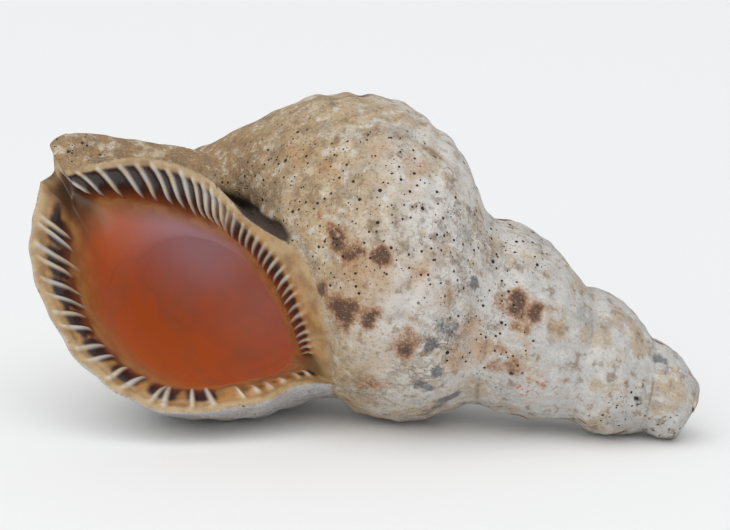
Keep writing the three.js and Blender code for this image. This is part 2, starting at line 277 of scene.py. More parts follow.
def steps_onto(row, lip, wavy=0.0):
    """Steps that carry a row of points onto a lip curve, spaced alike; wavy swells it at the teeth."""
    share = lengths(row) / lengths(row)[-1]
    goal = spline(lip, share)
    swell = np.cos(TAU * pair_number(0.45 * share)) + 1.2 * ripple(goal, 21, 8)
    swell = wavy * swell * ease(0, 0.1, share) * ease(1, 0.9, share)
    return goal + swell[:, None] * unit(goal - MOUTH_MIDDLE) - row


flare = steps_onto(np.vstack([whorls[-1], body[-1]]), outer_lip, wavy=0.35)
lip_turn = 38 * DEG
whorls = whorls + np.maximum(0, 1 + turns / lip_turn)[:, None, None] ** 2 * flare[:WHORL_COLUMNS + 1]
body = body + np.maximum(0, 1 + body_turns / lip_turn)[..., None] ** 2 * flare[WHORL_COLUMNS + 1:]
inner_row = np.vstack([whorls[body_row, -1:], body[0]])
raised = steps_onto(inner_row, inner_lip)[1:]
inner_share = (lengths(inner_row) / lengths(inner_row)[-1])[1:]
chink = ease(0.38, 0.45, inner_share) * ease(0.68, 0.57, inner_share)
body = body + np.maximum(0, 1 - after / ((26 - 16 * chink) * DEG))[..., None] ** 2 * raised
opening = ease(0.48, 0.6, inner_share)
cleft = chink * bell(after - (1 + 9 * opening) * DEG, (3.2 + 5 * opening) * DEG)
body = body - 8 * (cleft * ease(0, 2 * DEG, after))[..., None] * unit(body * [1, 1, 0])
print("outside grid:", whorls.shape, body.shape)

# %% [markdown]
# A real shell has no gap at the seam, so the two edges that meet there use one row of points. Merging close
# points afterwards could do it too, but might also close the fine chink. The worn apex is a fan of triangles.

# %% Points shared along the seam, and faces of the outside
whorl_count = whorls.shape[0] * whorls.shape[1]
whorl_ids = np.arange(whorl_count).reshape(whorls.shape[:2])
whorl_ids[ROWS:, 0] = whorl_ids[:last_row + 1 - ROWS, -1]
body_ids = whorl_count + np.arange(body.shape[0] * body.shape[1]).reshape(body.shape[:2])
base_ids = np.hstack([whorl_ids[body_row:, -1:], body_ids])
points = np.vstack([whorls.reshape(-1, 3), body.reshape(-1, 3)])
point_turn = np.concatenate([np.repeat(turns, WHORL_COLUMNS + 1), body_turns.ravel()])
point_way = np.concatenate([np.tile(whorl_ways, last_row + 1), np.tile(body_ways, ROWS + 1)])


def grid_faces(ids):
    """Quads of a grid of point numbers, facing out."""
    return np.stack([ids[:-1, :-1], ids[1:, :-1], ids[1:, 1:], ids[:-1, 1:]], -1).reshape(-1, 4)


quads = [grid_faces(whorl_ids), grid_faces(base_ids)]
apex = len(points)
points = np.vstack([points, [[0, 0, 1 - APEX_H]]])
point_turn = np.append(point_turn, -TURNS * TAU)
point_way = np.append(point_way, 0.0)
apex_edge = np.concatenate([whorl_ids[:ROWS + 1, 0], whorl_ids[0, -2:0:-1]])
triangles = [np.stack([np.full(len(apex_edge), apex), np.roll(apex_edge, -1), apex_edge], -1)]
edge = np.concatenate([whorl_ids[-1], body_ids[-1], body_ids[-2::-1, -1], body_ids[0, -2::-1]])
print("points on the mouth's edge:", len(edge))

# %% [markdown]
# ## The mouth
# Rings run from the mouth's edge over the toothed band and into the tube. `round_way` goes round: 0 at the
# back corner, along the outer lip to 0.45, across the canal to 0.55, and back along the inner lip to 1.
# `depths` go in: 0 at the edge, 19 where the band of teeth ends, and 262 where the tube is closed, out of
# sight. One wall of points could close the mouth, but rings keep the glazed throat smooth all the way in.

# %% Rings of the mouth
RING_DEPTHS = np.array([0, 9, 19, 62, 106, 146, 184, 216, 240, 262.0])
TUBE_TURNS = np.array([-40, -80, -120, -160, -200, -235, -265]) * DEG
depths = np.concatenate([np.linspace(0, 20, 27)[1:], [22, 25, 29, 34, 40, 47, 55, 64, 74, 85, 97, 110, 126,
                                                     144, 164, 184, 200, 216, 228, 240, 251, 262]])
edge_points = np.vstack([points[edge], points[edge[:1]]])
edge_far = lengths(edge_points)
canal_stops = [whorls.shape[1] + body.shape[1] - 1, whorls.shape[1] + body.shape[1] - 1 + ROWS]
stops = np.array([0, edge_far[canal_stops[0]], edge_far[canal_stops[1]], edge_far[-1]])
parts = np.array([0, 0.45, 0.55, 1])
edge_way = np.interp(edge_far, stops, parts)
round_way = np.arange(MOUTH_COLUMNS) / MOUTH_COLUMNS
far_round = np.interp(round_way, parts, stops)
rim = np.stack([np.interp(far_round, edge_far, edge_points[:, k]) for k in range(3)], -1)

laps = np.concatenate([THROAT[:, 0] + lap for lap in (-1, 0, 1)])
inner_edge = curve(laps, np.tile(down(THROAT[:, 1:]), (3, 1)), round_way)
middle = (rim + inner_edge) / 2
middle = middle + 3 * unit(unit(MOUTH_MIDDLE - middle) + [0, -1, 0])


def tube(turn, way):
    """Oval tube behind the mouth, in the same proportions at every turn."""
    height = 1.36 - 0.22 * np.cos(TAU * way)
    radius = 0.245 + 0.155 * np.sin(TAU * way) - 0.12 * (height - 1.36)
    return place(turn, seam_height(turn) * height, seam_height(turn) * radius)


rings = np.stack([rim, middle, inner_edge] + [tube(turn, round_way) for turn in TUBE_TURNS])
mouth = curve(RING_DEPTHS, rings, depths)
waves = np.arange(MOUTH_COLUMNS // 2 + 1)
blur = np.exp(-2 * (np.pi * waves * 0.036 * ease(13, 42, depths)[:, None]) ** 2)
mouth = np.fft.irfft(np.fft.rfft(mouth, axis=1) * blur[..., None], MOUTH_COLUMNS, axis=1)
print("mouth grid:", mouth.shape)

# %% [markdown]
# ## Teeth
# The outer lip bears pairs of white teeth on dark brown, the upper part of the inner lip long slanting
# ridges, and the rest of it close fine ridges on a smooth cream plate. Each is a small ridge raised along the
# normal. Separate pieces could be set on, but the real teeth are folds of the lip itself. The same profiles
# become attributes, so that the paint follows the shape.

# %% Tooth relief and its masks
ways, ins = np.meshgrid(round_way, depths)
lap_points = np.concatenate([mouth[:, -1:], mouth, mouth[:, :1]], 1)
along_round = lap_points[:, 2:] - lap_points[:, :-2]
along_depth = np.gradient(mouth, depths, axis=0)
normals = unit(np.cross(along_depth, along_round))
spacing = np.linalg.norm(along_round, axis=-1) / 2 * MOUTH_COLUMNS


def across(way):
    """Distance in millimetres round the mouth from a way."""
    return ((ways - way + 0.5) % 1 - 0.5) * spacing


def ridge(way, start, end, wide, slant=0.0, tall=1.0):
    """One ridge between two depths: a bell across, thinner inwards; slant carries its inner end round."""
    t = (ins - start) / (end - start)
    girth = wide * (1 - 0.5 * np.clip(t, 0, 1))
    fade = ease(start - 1.5, start + 1.5, ins) * ease(end + 4, end - 5, ins)
    return tall * bell(across(way + slant * np.clip(t, -0.2, 1.2)), girth) * fade


def plate_edge(way):
    """Depth where the smooth plate gives way to the fine ridges: 1.5, eased to 6.5 further back."""
    return 1.5 + 5 * ease(0.74, 0.86, way)


def stain_round(way, start, end, wide, strength):
    """One dark stain between two depths, soft on every side."""
    fade = ease(start - 1.5, start + 3, ins) * ease(end + 5, end - 4, ins)
    return strength * ease(wide * 1.5, wide * 0.6, np.abs(across(way))) * fade


rng = np.random.default_rng(11)
HALF_GAPS = (0.0045, 0.006, 0.0085, 0.0072, 0.008, 0.008, 0.0065, 0.011)
UPPER = (0.541, 0.561, 0.584, 0.609, 0.627, 0.644, 0.661, 0.677, 0.69, 0.704, 0.716, 0.729)
ridges = []
stains = []
for i, gap in enumerate(HALF_GAPS):
    pair = 0.414 - 0.031 * i - 0.0013 * i * i
    for side in (-1, 1):
        way = pair + side * gap + rng.uniform(-0.0015, 0.0015)
        far_in = rng.uniform(17, 23)
        ridges.append(ridge(way, rng.uniform(1.5, 3), far_in, rng.uniform(1.3, 1.7),
                            rng.uniform(-0.006, 0.006), rng.uniform(0.75, 1)))
    stains.append(stain_round(pair, 5, 17.5, 5.8, rng.uniform(0.85, 1)))
for i in range(6):
    way = 0.089 - 0.0155 * i + rng.uniform(-0.002, 0.002)
    ridges.append(ridge(way, rng.uniform(4, 6), rng.uniform(10, 14), rng.uniform(1.2, 1.8),
                        0, rng.uniform(0.6, 1)))
    stains.append(stain_round(way - 0.0077, 6, 11, 1.3, rng.uniform(0.5, 0.95)))
for way in UPPER:
    ridges.append(ridge(way + rng.uniform(-0.0015, 0.0015), rng.uniform(0.8, 2.5), rng.uniform(16, 19),
                        rng.uniform(1.3, 1.75), rng.uniform(0.019, 0.025), rng.uniform(0.75, 1)))
for i in range(19):
    way = 0.742 + 0.0117 * i + rng.uniform(-0.001, 0.001)
    ridges.append(ridge(way, plate_edge(way), rng.uniform(16.5, 18.5), rng.uniform(1.0, 1.3),
                        0.006, rng.uniform(0.65, 0.9)))
tooth = np.max(ridges, axis=0)

upper_band = ease(0.525, 0.56, ways) * ease(0.79, 0.71, ways)
close_band = ease(0.71, 0.77, ways) * ease(0.985, 0.96, ways)
outer_band = ease(0.0, 0.03, ways) * ease(0.47, 0.43, ways)
plate_end = plate_edge(ways)
plate = ease(0.72, 0.77, ways) * ease(1.0, 0.97, ways) * ease(plate_end + 3, plate_end, ins)
smudge = np.clip(0.6 + 0.55 * ripple(mouth, 9, 31), 0, 1)
between = outer_band * ease(4.5, 9, ins) * ease(27, 15, ins) * (0.4 + 0.6 * ease(0.2, 0.3, ways)) * smudge
stains.append(between)
stains.append(upper_band * ease(1.5, 4, ins) * ease(27, 14, ins) * (1 - 0.4 * ease(0.64, 0.74, ways)))
stains.append(0.85 * close_band * ease(plate_end, plate_end + 4, ins) * ease(20.5, 15, ins))
dark = np.max(stains, axis=0)
channel = ease(0.425, 0.46, ways) * ease(0.58, 0.54, ways) * ease(1.5, 7, ins) * ease(42, 17, ins)
gutter_shade = ease(0.955, 0.975, ways) * ease(2, 6, ins) * ease(45, 20, ins)
bead = 0.9 * outer_band + 0.9 * upper_band
relief = 1.25 * tooth
relief = relief + bead * np.sqrt(np.clip(1 - ((ins - 2) / 2) ** 2, 0, 1))
relief = relief + 0.8 * plate * ease(0, 1.5, ins)
relief = relief + 0.35 * ripple(mouth, 14, 3) * ease(2, 10, ins) * ease(60, 20, ins)
mouth = mouth + relief[..., None] * normals
print("tooth height up to", round(float(relief.max()), 2), "mm")

# %% [markdown]
# The rim of the mouth is finer than the edge of the outside, so a band of triangles joins the two rings, and
# the far end of the tube is closed by a fan.

# %% Join the mouth to the outside
mouth_ids = len(points) + np.arange(mouth.size // 3).reshape(mouth.shape[:2])
points = np.vstack([points, mouth.reshape(-1, 3)])
closed_ids = np.hstack([mouth_ids, mouth_ids[:, :1]])
quads.append(grid_faces(closed_ids))
end = len(points)
points = np.vstack([points, mouth[-1].mean(0)])
triangles.append(np.stack([closed_ids[-1, :-1], np.full(MOUTH_COLUMNS, end), closed_ids[-1, 1:]], -1))


def zip_rings(a, b, way_a, way_b):
    """Triangles between two rings of different counts, stepping along whichever is behind."""
    order = np.argsort(np.concatenate([way_a[1:], way_b[1:]]), kind="stable")
    from_a = order < len(way_a) - 1
    i = np.cumsum(from_a) - from_a
    j = np.cumsum(~from_a) - ~from_a
    third = np.where(from_a, a[np.minimum(i + 1, len(a) - 1)], b[np.minimum(j + 1, len(b) - 1)])
    return np.stack([a[i], b[j], third], -1)


closed_edge = np.append(edge, edge[0])
triangles.append(zip_rings(closed_edge, closed_ids[0], edge_way, np.append(round_way, 1.0)))
print("points:", len(points))

# %% [markdown]
# ## Wear
# Years in the sea leave the outside lumpy and scoured. A smooth random field of several sizes moves each
# point along the normal. The teeth and the glossy throat stay smooth.

# %% Lumps on the outside
all_quads = np.vstack(quads)
all_triangles = np.vstack(triangles)
corners = np.vstack([all_quads[:, [0, 1, 2]], all_quads[:, [0, 2, 3]], all_triangles])
first = points[corners[:, 0]]
second = points[corners[:, 1]]
third = points[corners[:, 2]]
face_normals = np.cross(second - first, third - first)
point_normals = np.zeros_like(points)
for k in range(3):
    np.add.at(point_normals, corners[:, k], face_normals)
point_normals = unit(point_normals)
volume = (first * np.cross(second, third)).sum() / 6
count_out = len(point_turn)
on_outside = np.zeros(len(points))
on_outside[:count_out] = 1
on_outside[edge] = 0
lump = 0.45 * ripple(points, 34, 1) + 0.28 * ripple(points, 13, 2) + 0.14 * ripple(points, 6, 4)
points = points + (lump * on_outside)[:, None] * point_normals
print("volume in cubic centimetres:", round(volume / 1000))

# %% [markdown]
# ## Pose
# The shell is laid down as it rests: the spire drops a little, the mouth turns up a little, and the
# underside is worn flat where it touches the ground. The same turn places the camera, so that it stands
# where the photographer stood.

# %% Lay the shell down
drop = 90 * DEG + 20.8 * DEG
up = -12 * DEG
turn_y = np.array([[np.cos(drop), 0, np.sin(drop)], [0, 1, 0], [-np.sin(drop), 0, np.cos(drop)]])
turn_x = np.array([[1, 0, 0], [0, np.cos(up), -np.sin(up)], [0, np.sin(up), np.cos(up)]])
lay = turn_x @ turn_y
laid = points @ lay.T
low, high = laid.min(0), laid.max(0)
shift = -np.array([(low[0] + high[0]) / 2, (low[1] + high[1]) / 2, low[2] + GROUND_WEAR])
laid = laid + shift
laid[:, 2] = np.maximum(laid[:, 2], 0)
print("size in millimetres:", np.round(laid.max(0) - laid.min(0), 1))

# %% [markdown]
# ## Marks as attributes
# The paint needs to know where it is: inside or out, how deep, on a tooth, on the canal, or in a rust-brown
# blotch. These are stored on the points. Blotches are the faded rest of the shell's rows of brown crescents.

# %% Masks
# Spots as (x, y, h, size, strength), placed where the photo shows them.
BLOTCHES = [(-5, -53, 209, 5.5, 1.0), (-2, -55, 200.5, 5.5, 1.0), (-7, -57, 190, 6.5, 1.0),
            (-8, -48, 219, 4.5, 0.6), (20, -48, 196, 7, 1.0), (24, -47, 193, 5, 0.8),
            (17, -52, 186, 6, 1.0), (19, -50, 183, 5, 0.9), (22, -47, 168, 7.5, 0.75),
            (15.5, -45, 206, 4.5, 0.85), (12.4, -43, 214, 3.5, 0.6), (-4, -55, 175, 5, 0.45),
            (43, -28, 175, 6, 0.5), (-22, -53, 204.5, 1.8, 0.7), (-21, -51, 214, 3, 0.5),
            (-15, -41, 232, 4, 0.5), (-7, -35, 140, 4.5, 0.6), (-11, -35, 134.5, 5, 0.8),
            (-10, -33, 126, 5, 0.8), (-4, -35, 130, 5, 0.6), (12, -32, 126, 5.5, 0.6),
            (16, -31, 131, 5, 0.6), (9, -34, 133, 5, 0.5)]
STAINS = [(-44, -44, 207, 8, 0.8), (-43, -44, 192, 7, 0.8), (-30, -34, 236, 12, 0.7),
          (-28, -44, 221, 9, 0.7), (-14, -31, 119, 4.5, 0.8), (-4, -32, 116, 4.5, 0.8),
          (6, -30, 113, 4.5, 0.7), (-4, -55, 175, 8, 0.7), (-23, -30, 142.5, 4, 0.9),
          (-15, -20, 95, 6, 0.6), (-45, -28, 200, 14, 0.5), (-2, -50, 160, 7, 0.9),
          (6, -39, 148, 8, 1.0), (19, -37, 146, 8, 1.0), (11, -34, 140, 7, 0.9), (8, -53, 192, 16, 0.8),
          (30, -42, 176, 10, 0.6), (-26, -33, 152, 6, 0.7)]
GREYS = [(15, -45, 157, 5, 1.15), (10.5, -44, 154, 5, 1.15), (-10, -42, 152, 4.5, 1.2),
         (26, -38, 152.5, 4, 1.1), (35, -32, 154, 4, 1.0), (36, -18, 142, 6, 1.0),
         (-12, -14, 71, 5, 0.9), (-7, -36, 237, 8, 0.5), (8, -48, 160, 5, 0.7)]
BORED = [(-25, -50, 210, 26, 1.0), (-15, -41, 232, 18, 1.0), (-38, -45, 200, 22, 1.0),
         (8, -40, 128, 16, 0.7), (12, -20, 80, 14, 0.8), (0, -53, 165, 16, 0.5)]
CRUMBS = [(-31, -36, 160, 9, 0.7), (-33, -42, 169, 9, 0.6), (-25, -32, 152, 7, 0.9),
          (-22, -48, 167, 9, 0.6), (14, -44, 154, 13, 1.0), (30, -36, 158, 12, 0.9),
          (-8, -46, 156, 9, 0.8), (45, -25, 172, 12, 0.7), (60, -10, 195, 14, 0.7),
          (-8, -20, 250, 10, 0.8), (-25, -38, 232, 9, 0.6), (2, -30, 138, 8, 0.7)]
FLECKS = [(18, -26, 116.5, 4.5, 1.0)]
PITS = [(4, -21, 75, 1.8, 1.0), (20, -16, 82.5, 1.8, 1.0), (8, -34, 139, 1.3, 1.0),
        (-17, -16, 85, 1.2, 0.9)]

ragged = points + 1.8 * np.stack([ripple(points, 15, seed) for seed in (21, 22, 23)], -1)
ragged = ragged + 0.9 * np.stack([ripple(points, 6, seed) for seed in (24, 25, 26)], -1)


def spots(rows):
    """The largest of bells round spots given as (x, y, h, size, strength)."""
    total = np.zeros(len(points))
    for x, y, h, size, strength in rows:
        total = np.maximum(total, strength * bell(np.linalg.norm(ragged - [x, y, -h], axis=1), size))
    return total


def faded_rows(seed):
    """Spots on the side away from the viewer: remains of five spiral rows, larger on larger whorls."""
    pick = np.random.default_rng(seed)
    turn = pick.uniform(-3.6 * TAU, -0.1, 300)
    way = pick.choice([0.25, 0.55, 0.85, 1.12, 1.3], 300) + pick.uniform(-0.06, 0.06, 300)
    way = np.where(turn < -TAU, np.minimum(way, 0.9), way)
    x, y, z = outside(turn, way).T
    size = seam_height(turn) / LIP_H * pick.uniform(6, 11, 300)
    strength = pick.uniform(0.4, 1, 300)
    kept = (y > -14) & (pick.uniform(0, 1, 300) < np.where(turn < -TAU, 0.22, 0.5))
    return np.stack([x, y, -z, size, strength], -1)[kept]


def per_point(outer, inner):
    """One value per point, from the outside and a grid in the mouth; the closing point repeats the last."""
    inner = np.broadcast_to(inner, mouth.shape[:2]).ravel()
    return np.concatenate([np.broadcast_to(outer, count_out), inner, inner[-1:]])


def painted_reflection(x, h, size):
    """Painted reflection: a cloud seen straight along Y, a bell round x and h."""
    return bell(np.linalg.norm((points - [x, 0, -h]) * [1, 0, 0.8], axis=1), size)


seams = np.maximum(bell(point_way, 0.02), bell(point_way - 1, 0.016) * (point_turn < -TAU))
# Painted shadow: a thin line just behind the inner lip, where the plate's edge stands over the body.
plate_edge_shadow = ease(0.08, 0.14, inner_share) * ease(0.46, 0.4, inner_share) * bell(after - 2.5 * DEG, 2.2 * DEG)
# Painted shade: the cleft behind the inner lip is painted dark on the outside, as the shade in that recess.
cleft_shade_paint = np.zeros(count_out)
plate_edge_shadow_paint = np.zeros(count_out)
cleft_shade_paint[whorl_count:-1] = np.clip(1.4 * cleft, 0, 1).ravel()
plate_edge_shadow_paint[whorl_count:-1] = plate_edge_shadow.ravel()
towards_canal = 0.35 * (points[:, 0] + 20) - points[:, 2]
paler_behind = 1 - 0.35 * ease(-10, 30, points[:, 1])
masks = {
    "inside": per_point(0, ease(0, 1.2, ins)),
    "deep": per_point(0, ins / 100),
    "tooth": per_point(0, np.clip(tooth, 0, 1)),
    # On the outside this holds the cleft's painted shade; in the mouth, the dark stains round the teeth.
    "dark": per_point(cleft_shade_paint, dark),
    "crumb": spots(CRUMBS),
    "fleck": spots(FLECKS),
    "pit": spots(PITS),
    "canal": per_point(ease(1.45, 1.95, point_way), 0),
    "blotch": np.maximum(spots(BLOTCHES), spots(faded_rows(40))) * per_point(1, 0),
    "stain": spots(STAINS),
    "grey": spots(GREYS),
    "bored": spots(BORED),
    "seam": per_point(np.maximum(seams, plate_edge_shadow_paint), 0),
    "lip_back_shade_tint": per_point(ease(-75, -25, point_turn / DEG) * ease(2.2, 1.8, point_way), 0),
    "painted_reflection": np.maximum(painted_reflection(15, 262, 19), 0.25 * painted_reflection(30, 228, 20)),
    "cool": ease(165, 125, -points[:, 2]),
    "warm": ease(162, 238, towards_canal) * paler_behind,
    "plate": per_point(0, plate),
    "channel": per_point(0, channel),
    "gutter_shade": per_point(0, gutter_shade),
}
print("masks:", ", ".join(masks))

# %% [markdown]
# The whole shell is one growth, so it is one mesh. The seam's doubled points belong to no face and are left
# out. Each mask goes along as a value on the points, and `grow` holds the turn and the way of the outside.

# %% The shell's mesh
used = np.unique(corners)
renumber = np.zeros(len(points), int)
renumber[used] = np.arange(len(used))
faces = renumber[all_quads].tolist() + renumber[all_triangles].tolist()
mesh = bpy.data.meshes.new("shell_skin")
mesh.from_pydata((laid[used] * MM).tolist(), [], faces)
for name, values in masks.items():
    mesh.attributes.new(name, "FLOAT", "POINT").data.foreach_set("value", values[used].astype(np.float32))
grow = np.zeros((len(points), 3), np.float32)
grow[:count_out, 0] = point_turn / TAU
grow[:count_out, 1] = point_way
mesh.attributes.new("grow", "FLOAT_VECTOR", "POINT").data.foreach_set("vector", grow[used].ravel())
mesh.shade_smooth()
shell = bpy.data.objects.new("shell_skin", mesh)
bpy.context.collection.objects.link(shell)
print("triangles:", len(corners), "points:", len(used))

# %% [markdown]
# ## Paint
# The outside is chalk and cream, stained tan at the canal, with rust-brown blotches, grey patches and the
# small bore holes of sponges, painted black for the shade inside them. The mouth is glazed: a cream rim,
# white teeth on dark brown, and an orange throat with a painted mauve reflection. Two materials could meet
# at the rim, but one, mixed by the masks, gives a soft change there, because the real shell is one growth.

# %% Small helpers for nodes
material = bpy.data.materials.new("shell")
material.use_nodes = True
tree = material.node_tree
shader = tree.nodes["Principled BSDF"]


def srgb(r, g, b):
    """Linear colour of an sRGB triple from 0 to 255."""
    c = np.array([r, g, b]) / 255
    return (*np.where(c < 0.04045, c / 12.92, ((c + 0.055) / 1.055) ** 2.4), 1.0)


def put(socket, value):
    """Links a socket or sets a constant."""
    if isinstance(value, bpy.types.NodeSocket):
        tree.links.new(value, socket)
    else:
        socket.default_value = value


def attribute(name, output="Fac"):
    """Value stored on the points."""
    node = tree.nodes.new("ShaderNodeAttribute")
    node.attribute_name = name
    return node.outputs[output]


def calc(operation, a, b=0.0, clamp=False):
    """One step of arithmetic."""
    node = tree.nodes.new("ShaderNodeMath")
    node.operation = operation
    node.use_clamp = clamp
    put(node.inputs[0], a)
    put(node.inputs[1], b)
    return node.outputs[0]


def step(value, low, high):
    """Smooth step from 0 at low to 1 at high."""
    node = tree.nodes.new("ShaderNodeMapRange")
    node.interpolation_type = "SMOOTHSTEP"
    put(node.inputs["Value"], value)
    put(node.inputs["From Min"], low)
    put(node.inputs["From Max"], high)
    return node.outputs["Result"]


def noise(vector, scale, detail=4.0, rough=0.55, seed=0.0):
    """Cloudy noise from 0 to 1; seed picks another cloud."""
    node = tree.nodes.new("ShaderNodeTexNoise")
    node.noise_dimensions = "4D"
    node.inputs["W"].default_value = seed
    put(node.inputs["Vector"], vector)
    node.inputs["Scale"].default_value = scale
    node.inputs["Detail"].default_value = detail
    node.inputs["Roughness"].default_value = rough
    return node.outputs["Fac"]


def stretch(vector, x, y, z):
    """Vector scaled by a different amount on each axis."""
    node = tree.nodes.new("ShaderNodeMapping")
    node.inputs["Scale"].default_value = (x, y, z)
    put(node.inputs["Vector"], vector)
    return node.outputs["Vector"]


def mix(fac, a, b):
    """Colour a where fac is 0, b where it is 1."""
    node = tree.nodes.new("ShaderNodeMix")
    node.data_type = "RGBA"
    put(node.inputs[0], fac)
    put(node.inputs[6], a)
    put(node.inputs[7], b)
    return node.outputs[2]


def bores(vector, scale, share, low, high):
    """Round holes: cells of a Voronoi pattern, a share of which has a hole of its own size."""
    node = tree.nodes.new("ShaderNodeTexVoronoi")
    node.inputs["Scale"].default_value = scale
    put(node.inputs["Vector"], vector)
    split = tree.nodes.new("ShaderNodeSeparateColor")
    put(split.inputs[0], node.outputs["Color"])
    size = calc("ADD", calc("MULTIPLY", split.outputs[1], high - low), low)
    inside_hole = calc("SUBTRACT", size, node.outputs["Distance"])
    return calc("MULTIPLY", step(inside_hole, 0.0, 0.05), step(split.outputs[0], share, share - 0.02))


def lay_over(colour, fac, strength, over):
    """Paints a colour over another by a mask at a strength."""
    return mix(calc("MULTIPLY", fac, strength), colour, over)


# %% [markdown]
# The worn outside is laid on in coats, as stains build up: pale chalk, warm and ashy clouds, growth bands,
# tan, grime, crumbs, rust blotches, grey patches and specks; a blue-grey coat behind the lip is painted
# shade.
# Each coat is one colour laid over by a mask.

# %% The chalky outside
here = tree.nodes.new("ShaderNodeTexCoord").outputs["Object"]
grown = attribute("grow", "Vector")
clouds = noise(here, 22, 4)
patches = noise(here, 70, 6, 0.62)
ashes = noise(here, 48, 5, 0.6, seed=3)
mottle = noise(here, 190, 5, 0.65, seed=5)
grain = noise(here, 900, 3, 0.7)
axial = noise(stretch(grown, 46, 3, 1), 1, 3)

warm = attribute("warm")
warmth = calc("ADD", calc("MULTIPLY", warm, 0.6), clouds)
outer_colour = mix(attribute("cool"), srgb(208, 204, 198), srgb(190, 188, 184))
outer_colour = mix(step(warmth, 0.48, 1.05), outer_colour, srgb(178, 156, 122))
outer_colour = lay_over(outer_colour, step(patches, 0.5, 0.62), 0.65, srgb(178, 153, 118))
outer_colour = lay_over(outer_colour, step(ashes, 0.53, 0.66), 0.55, srgb(150, 147, 144))
outer_colour = lay_over(outer_colour, step(axial, 0.52, 0.7), 0.5, srgb(168, 144, 114))
outer_colour = lay_over(outer_colour, step(axial, 0.46, 0.34), 0.45, srgb(211, 206, 198))
tan = calc("MULTIPLY", attribute("canal"), step(patches, 0.2, 0.5))
outer_colour = lay_over(outer_colour, tan, 0.95, srgb(150, 119, 80))
outer_colour = lay_over(outer_colour, step(mottle, 0.53, 0.64), 0.75, srgb(138, 116, 93))
outer_colour = lay_over(outer_colour, step(mottle, 0.46, 0.36), 0.6, srgb(212, 208, 202))
grime = calc("MULTIPLY", step(noise(here, 36, 4, 0.6, seed=19), 0.5, 0.62), step(mottle, 0.47, 0.57))
outer_colour = lay_over(outer_colour, grime, 0.38, srgb(112, 96, 80))
dirt = calc("MULTIPLY", warm, step(noise(here, 110, 5, 0.7, seed=9), 0.48, 0.62))
outer_colour = lay_over(outer_colour, dirt, 0.65, srgb(122, 99, 72))
scoured = calc("MULTIPLY", warm, step(noise(here, 130, 5, 0.7, seed=17), 0.52, 0.64))
outer_colour = lay_over(outer_colour, scoured, 0.6, srgb(204, 190, 166))
stain = calc("MULTIPLY", attribute("stain"), calc("ADD", calc("MULTIPLY", patches, 1.7), 0.15))
outer_colour = lay_over(outer_colour, step(stain, 0.2, 0.9), 0.65, srgb(176, 135, 90))
crumbs = noise(here, 300, 3, 0.6, seed=12)
crumb = calc("MULTIPLY", attribute("crumb"), step(crumbs, 0.5, 0.58))
scratch_lines = noise(stretch(grown, 130, 7, 1), 1, 3, seed=6)
scratches = calc("MULTIPLY", attribute("crumb"), step(scratch_lines, 0.5, 0.62))
outer_colour = lay_over(outer_colour, scratches, 0.6, srgb(134, 110, 84))
outer_colour = lay_over(outer_colour, crumb, 0.5, srgb(152, 134, 110))
# Painted shade: behind the outer lip the chalk is tinted blue-grey, the colour of the cool shade under the
# lip.
lip_back_shade_tint = calc("MULTIPLY", attribute("lip_back_shade_tint"), calc("ADD", step(patches, 0.35, 0.6), 0.5), clamp=True)
outer_colour = lay_over(outer_colour, lip_back_shade_tint, 0.65, srgb(190, 195, 202))
dust = calc("MULTIPLY", calc("SUBTRACT", grain, 0.5), 0.9)
rust_cloud = calc("ADD", calc("MULTIPLY", patches, 1.2), calc("ADD", dust, 0.4))
rust = calc("MULTIPLY", attribute("blotch"), rust_cloud)
outer_colour = lay_over(outer_colour, step(rust, 0.2, 0.55), 0.75, srgb(164, 116, 74))
outer_colour = lay_over(outer_colour, calc("MULTIPLY", step(rust, 0.38, 0.74), step(mottle, 0.34, 0.5)), 0.9,
                        srgb(76, 48, 36))
grey_cloud = calc("ADD", calc("MULTIPLY", patches, 1.7), calc("ADD", dust, 0.15))
greyed = calc("MULTIPLY", attribute("grey"), grey_cloud)
outer_colour = lay_over(outer_colour, step(greyed, 0.35, 0.65), 0.85, srgb(104, 105, 109))
specks = calc("MULTIPLY", step(grain, 0.54, 0.66), calc("ADD", calc("MULTIPLY", warm, 0.35), 0.4))
outer_colour = mix(specks, outer_colour, srgb(112, 91, 72))
outer_colour = lay_over(outer_colour, step(grain, 0.44, 0.34), 0.25, srgb(216, 211, 203))
# Dark line along the sutures, plus the painted shadow line at the plate's edge (both in the seam mask).
outer_colour = lay_over(outer_colour, calc("MULTIPLY", attribute("seam"), step(patches, 0.44, 0.64)), 0.6,
                        srgb(104, 90, 78))
flecks = calc("MULTIPLY", attribute("fleck"), step(noise(here, 520, 2, 0.5, seed=14), 0.54, 0.58))
outer_colour = lay_over(outer_colour, flecks, 0.9, srgb(196, 70, 52))

# %% [markdown]
# Boring sponges leave round holes of a few sizes, crowded in some areas. Cells of a Voronoi pattern stand for
# them, since thousands of modelled holes would show no better; the largest holes are placed one by one. Each
# hole is painted near-black, which is painted shade inside it, over a small dent in the bump.

# %% Bore holes
bored = calc("MAXIMUM", attribute("bored"), step(noise(here, 18, 2, seed=7), 0.5, 0.62))
holes = calc("MAXIMUM", bores(here, 240, 0.6, 0.08, 0.22), bores(here, 400, 0.75, 0.1, 0.26))
holes = calc("MAXIMUM", holes, bores(here, 800, 0.22, 0.1, 0.25))
holes = calc("MULTIPLY", holes, step(calc("ADD", bored, mottle), 0.8, 1.0))
holes = calc("MAXIMUM", holes, step(attribute("pit"), 0.35, 0.6))
# Painted shade: each hole is painted near-black, for the shade inside it.
outer_colour = mix(holes, outer_colour, srgb(34, 26, 20))
# Painted shade: the cleft behind the inner lip is painted near-black on the outside.
cleft_shade = calc("MULTIPLY", attribute("dark"), calc("SUBTRACT", 1.0, attribute("inside")))
outer_colour = lay_over(outer_colour, step(cleft_shade, 0.12, 0.7), 0.92, srgb(42, 31, 23))

# %% [markdown]
# The mouth is smooth porcelain-like shell. Its colours follow the depth, from the cream rim over a golden
# band to the orange throat, and the tooth profiles place the white ridges on their dark stains.

